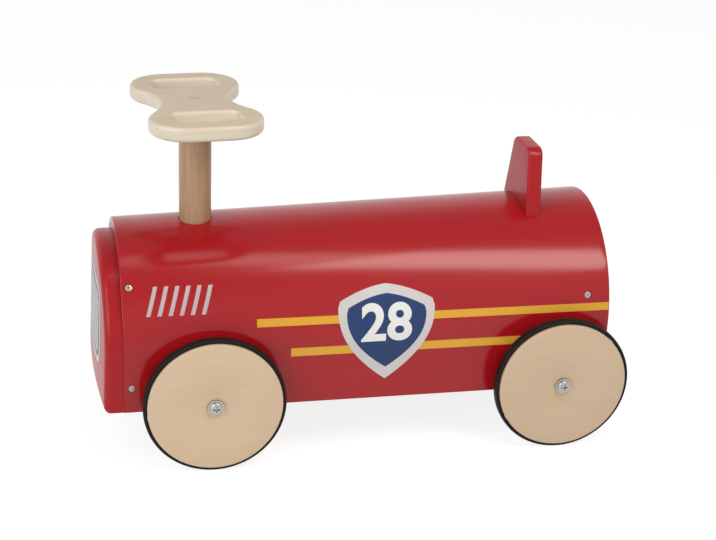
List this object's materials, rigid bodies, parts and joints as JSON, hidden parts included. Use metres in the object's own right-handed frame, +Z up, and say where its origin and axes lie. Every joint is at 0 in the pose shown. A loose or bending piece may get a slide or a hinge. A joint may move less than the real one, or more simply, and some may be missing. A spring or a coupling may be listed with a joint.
{
  "type": "ride-on toy car",
  "caption": "Wooden ride-on toy car with a bent plywood body, a round nose board, a backrest, rubber-tyred disc wheels and a turning handle board on a column.",
  "frame": {"origin": "on the floor, under the middle of the car's length and width", "axes": "+X towards the car's rear, +Z up, +Y to the car's right side; the nose faces -X"},
  "size_m": [0.5478, 0.275, 0.3526],
  "materials": {
    "red_lacquer": "glossy red lacquer on bent plywood",
    "red_lacquer_boards": "satin red lacquer on flat boards",
    "birch_plywood": "clear matt lacquer",
    "oiled_beech": "clear satin lacquer",
    "pale_birch": "clear satin lacquer on pale solid wood",
    "black_rubber": "matt black rubber",
    "grey_nylon": "matt grey nylon",
    "zinc_plated_steel": "bright zinc plating"
  },
  "bodies": {
    "chassis": {"backrest": "red_lacquer_boards", "backrest_cleat": "birch_plywood", "backrest_screw_left": "zinc_plated_steel", "backrest_screw_right": "zinc_plated_steel", "body_shell": "red_lacquer", "column_block": "birch_plywood", "front_axle_beam": "birch_plywood", "front_bulkhead": "red_lacquer_boards", "front_left_spacer": "grey_nylon", "front_left_washer": "zinc_plated_steel", "front_left_wheel_screw": "zinc_plated_steel", "front_right_spacer": "grey_nylon", "front_right_washer": "zinc_plated_steel", "front_right_wheel_screw": "zinc_plated_steel", "nose_panel": "red_lacquer_boards", "nose_screw_left": "zinc_plated_steel", "nose_screw_right": "zinc_plated_steel", "rear_axle_beam": "birch_plywood", "rear_bulkhead": "red_lacquer_boards", "rear_left_spacer": "grey_nylon", "rear_left_washer": "zinc_plated_steel", "rear_left_wheel_screw": "zinc_plated_steel", "rear_right_spacer": "grey_nylon", "rear_right_washer": "zinc_plated_steel", "rear_right_wheel_screw": "zinc_plated_steel", "shell_screw_front_lower_left": "zinc_plated_steel", "shell_screw_front_lower_right": "zinc_plated_steel", "shell_screw_front_upper_left": "zinc_plated_steel", "shell_screw_front_upper_right": "zinc_plated_steel", "shell_screw_rear_lower_left": "zinc_plated_steel", "shell_screw_rear_lower_right": "zinc_plated_steel", "shell_screw_rear_upper_left": "zinc_plated_steel", "shell_screw_rear_upper_right": "zinc_plated_steel", "stop_dowel_left": "oiled_beech", "stop_dowel_right": "oiled_beech"},
    "handle": {"handle_board": "pale_birch", "handle_column": "oiled_beech", "handle_dowel_front": "oiled_beech", "handle_dowel_rear": "oiled_beech", "handle_plug": "oiled_beech", "handle_screw": "zinc_plated_steel", "spigot_screw": "zinc_plated_steel", "spigot_washer": "zinc_plated_steel", "stop_pin": "zinc_plated_steel"},
    "wheel_front_left": {"front_left_hub_bushing": "grey_nylon", "front_left_tyre": "black_rubber", "front_left_wheel": "birch_plywood"},
    "wheel_front_right": {"front_right_hub_bushing": "grey_nylon", "front_right_tyre": "black_rubber", "front_right_wheel": "birch_plywood"},
    "wheel_rear_left": {"rear_left_hub_bushing": "grey_nylon", "rear_left_tyre": "black_rubber", "rear_left_wheel": "birch_plywood"},
    "wheel_rear_right": {"rear_right_hub_bushing": "grey_nylon", "rear_right_tyre": "black_rubber", "rear_right_wheel": "birch_plywood"}
  },
  "joints": [
    {"name": "handle_turn", "type": "hinge", "parent": "chassis", "child": "handle", "pos_m": [-0.16619, 0, 0.09985], "axis": [0, 0, 1], "range_deg": [-43.5, 36.5]},
    {"name": "front_left_roll", "type": "hinge", "parent": "chassis", "child": "wheel_front_left", "pos_m": [-0.16129, -0.117, 0.07215], "axis": [0, 1, 0], "continuous": true},
    {"name": "front_right_roll", "type": "hinge", "parent": "chassis", "child": "wheel_front_right", "pos_m": [-0.16129, 0.117, 0.07215], "axis": [0, 1, 0], "continuous": true},
    {"name": "rear_left_roll", "type": "hinge", "parent": "chassis", "child": "wheel_rear_left", "pos_m": [0.20171, -0.117, 0.07215], "axis": [0, 1, 0], "continuous": true},
    {"name": "rear_right_roll", "type": "hinge", "parent": "chassis", "child": "wheel_rear_right", "pos_m": [0.20171, 0.117, 0.07215], "axis": [0, 1, 0], "continuous": true}
  ]
}
